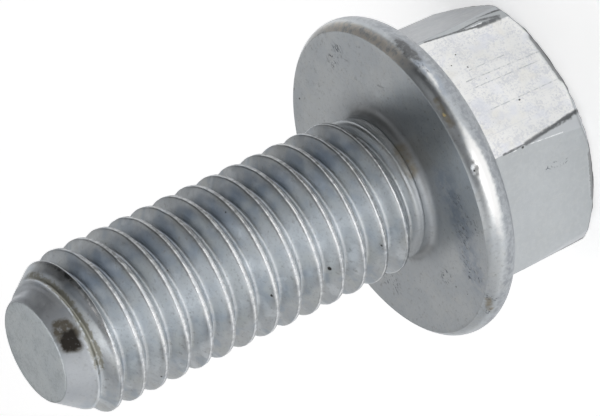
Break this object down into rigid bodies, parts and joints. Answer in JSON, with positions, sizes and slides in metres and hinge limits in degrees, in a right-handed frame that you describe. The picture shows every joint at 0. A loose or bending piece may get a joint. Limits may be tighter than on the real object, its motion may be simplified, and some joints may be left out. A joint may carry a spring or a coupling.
{
  "type": "flange bolt",
  "caption": "Hexagon flange bolt with a fully threaded metric shank: a plain hexagon on a round washer flange, a short neck, and a right-handed coarse thread with a chamfered tip.",
  "frame": {"origin": "centre of the flat top face of the hexagon, which is the face the bolt stands on", "axes": "+Z along the bolt's axis from the head to the threaded tip; +X and +Y are radial, with one corner of the hexagon 41.15 degrees from +X towards +Y"},
  "size_m": [0.0162, 0.0162, 0.0278],
  "materials": {
    "zinc_plated_steel": "bright zinc plating over cold-forged and thread-rolled steel, slightly cloudy"
  },
  "bodies": {
    "root": {"flange_bolt": "zinc_plated_steel"}
  },
  "joints": []
}
